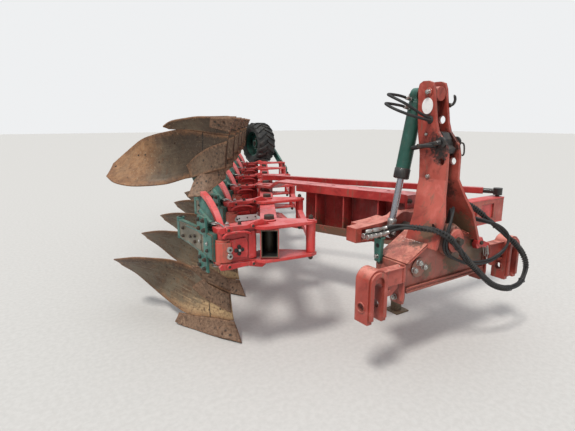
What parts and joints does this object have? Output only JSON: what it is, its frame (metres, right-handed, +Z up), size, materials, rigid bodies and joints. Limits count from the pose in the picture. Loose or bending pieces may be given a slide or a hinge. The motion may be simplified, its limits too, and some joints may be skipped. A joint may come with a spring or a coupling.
{
  "type": "mounted reversible plough",
  "caption": "Fully mounted reversible plough: headstock with turnover ram, angled beam with mirrored pairs of curved boards on pivoting brackets, and a rear depth wheel.",
  "frame": {"origin": "on the ground under the middle of the bounding box", "axes": "+Z up, -Y is the way it travels, X runs across"},
  "size_m": [3.2033, 5.874, 1.82],
  "materials": {
    "red_paint": "semi-gloss, scratched",
    "red_faded": "sun faded",
    "teal_paint": "semi-gloss",
    "rusty_steel": "rusty",
    "steel": "worn",
    "chrome_rod": "polished",
    "black_paint": "satin",
    "black_rubber": "matt",
    "tyre_rubber": "matt"
  },
  "bodies": {
    "headstock": {"cross_beam": "red_faded", "hitch_forks": "red_faded", "tower": "red_faded", "top_link_pin": "black_paint", "coupling_holder": "teal_paint", "hose_couplings": "steel", "hose_bundle": "black_rubber", "hose_loop": "black_rubber", "ram_hoses": "black_rubber"},
    "head": {"turnover_shaft": "steel", "turning_head": "red_faded", "arm": "red_faded", "stand_socket": "red_paint"},
    "stand": {"stand_leg": "steel"},
    "ram_cylinder": {"ram_barrel": "teal_paint"},
    "ram_piston": {"ram_rod": "chrome_rod"},
    "strut_front": {"strut_fork": "black_paint"},
    "strut_rear": {"strut_tube": "red_faded"},
    "beam": {"beam": "red_faded"},
    "link": {"link_bar": "red_paint"},
    "wheel_carrier": {"wheel_arm": "teal_paint"},
    "wheel": {"wheel_rim": "teal_paint", "wheel_tyre": "tyre_rubber"},
    "station_1": {"bracket_1": "red_paint", "legs_1": "teal_paint", "boards_1": "rusty_steel", "shares_1": "rusty_steel"},
    "station_2": {"bracket_2": "red_paint", "legs_2": "teal_paint", "boards_2": "rusty_steel", "shares_2": "rusty_steel"},
    "station_3": {"bracket_3": "red_paint", "legs_3": "teal_paint", "boards_3": "rusty_steel", "shares_3": "rusty_steel"},
    "station_4": {"bracket_4": "red_paint", "legs_4": "teal_paint", "boards_4": "rusty_steel", "shares_4": "rusty_steel"},
    "station_5": {"bracket_5": "red_paint", "legs_5": "teal_paint", "boards_5": "rusty_steel", "shares_5": "rusty_steel"},
    "station_6": {"bracket_6": "red_paint", "legs_6": "teal_paint", "boards_6": "rusty_steel", "shares_6": "rusty_steel"}
  },
  "joints": [
    {"name": "turnover", "type": "hinge", "parent": "headstock", "child": "head", "pos_m": [0.1624, -2.5043, 0.8], "axis": [0, 1, 0], "range_deg": [0, 180]},
    {"name": "ram_swing", "type": "hinge", "parent": "headstock", "child": "ram_cylinder", "pos_m": [0.1624, -2.4743, 1.739], "axis": [0, 1, 0], "range_deg": [-25.01, 0]},
    {"name": "ram_slide", "type": "slide", "parent": "ram_cylinder", "child": "ram_piston", "axis": [0.2164, 0, 0.9763], "range_m": [0, 0.2675]},
    {"name": "width", "type": "hinge", "parent": "head", "child": "beam", "pos_m": [-0.11524, -0.8744, 0.8], "axis": [0, 0, 1], "range_deg": [-6.6, 8.7]},
    {"name": "strut_swing", "type": "hinge", "parent": "head", "child": "strut_front", "pos_m": [1.4024, -2.3743, 0.95], "axis": [0, 0, 1], "range_deg": [-1, 1.2]},
    {"name": "strut_slide", "type": "slide", "parent": "strut_front", "child": "strut_rear", "axis": [-0.5244, 0.8515, 0], "range_m": [-0.058, 0.0765]},
    {"name": "link_pivot", "type": "hinge", "parent": "station_1", "child": "link", "pos_m": [-0.58066, -2.27075, 0.8], "axis": [0, 0, 1], "range_deg": [-6.6, 8.7]},
    {"name": "wheel_swing", "type": "hinge", "parent": "station_6", "child": "wheel_carrier", "pos_m": [1.57568, 1.43191, 0.8], "axis": [1, 0, 0], "range_deg": [-77.2, 0]},
    {"name": "wheel_spin", "type": "hinge", "parent": "wheel_carrier", "child": "wheel", "pos_m": [1.3724, 1.93286, 1.19991], "axis": [1, 0, 0], "continuous": true},
    {"name": "stand_slide", "type": "slide", "parent": "head", "child": "stand", "axis": [0, 0, 1], "range_m": [0, 0.3]},
    {"name": "body_pivot_1", "type": "hinge", "parent": "beam", "child": "station_1", "pos_m": [-0.8246, -2.1333, 0.8], "axis": [0, 0, 1], "range_deg": [-8.7, 6.6]},
    {"name": "body_pivot_2", "type": "hinge", "parent": "beam", "child": "station_2", "pos_m": [-0.40733, -1.39277, 0.8], "axis": [0, 0, 1], "range_deg": [-8.7, 6.6]},
    {"name": "body_pivot_3", "type": "hinge", "parent": "beam", "child": "station_3", "pos_m": [0.00994, -0.65224, 0.8], "axis": [0, 0, 1], "range_deg": [-8.7, 6.6]},
    {"name": "body_pivot_4", "type": "hinge", "parent": "beam", "child": "station_4", "pos_m": [0.4272, 0.0883, 0.8], "axis": [0, 0, 1], "range_deg": [-8.7, 6.6]},
    {"name": "body_pivot_5", "type": "hinge", "parent": "beam", "child": "station_5", "pos_m": [0.84447, 0.82883, 0.8], "axis": [0, 0, 1], "range_deg": [-8.7, 6.6]},
    {"name": "body_pivot_6", "type": "hinge", "parent": "beam", "child": "station_6", "pos_m": [1.26174, 1.56936, 0.8], "axis": [0, 0, 1], "range_deg": [-8.7, 6.6]}
  ],
  "couplings": [
    {"joint": "ram_swing", "follows": "turnover", "ratio": -0.13885},
    {"joint": "ram_slide", "follows": "turnover", "m_per_rad": 0.085},
    {"joint": "strut_swing", "follows": "width", "ratio": 0.12},
    {"joint": "strut_slide", "follows": "width", "m_per_rad": 0.5},
    {"joint": "link_pivot", "follows": "width", "ratio": 1},
    {"joint": "body_pivot_1", "follows": "width", "ratio": -1},
    {"joint": "body_pivot_2", "follows": "width", "ratio": -1},
    {"joint": "body_pivot_3", "follows": "width", "ratio": -1},
    {"joint": "body_pivot_4", "follows": "width", "ratio": -1},
    {"joint": "body_pivot_5", "follows": "width", "ratio": -1},
    {"joint": "body_pivot_6", "follows": "width", "ratio": -1}
  ]
}
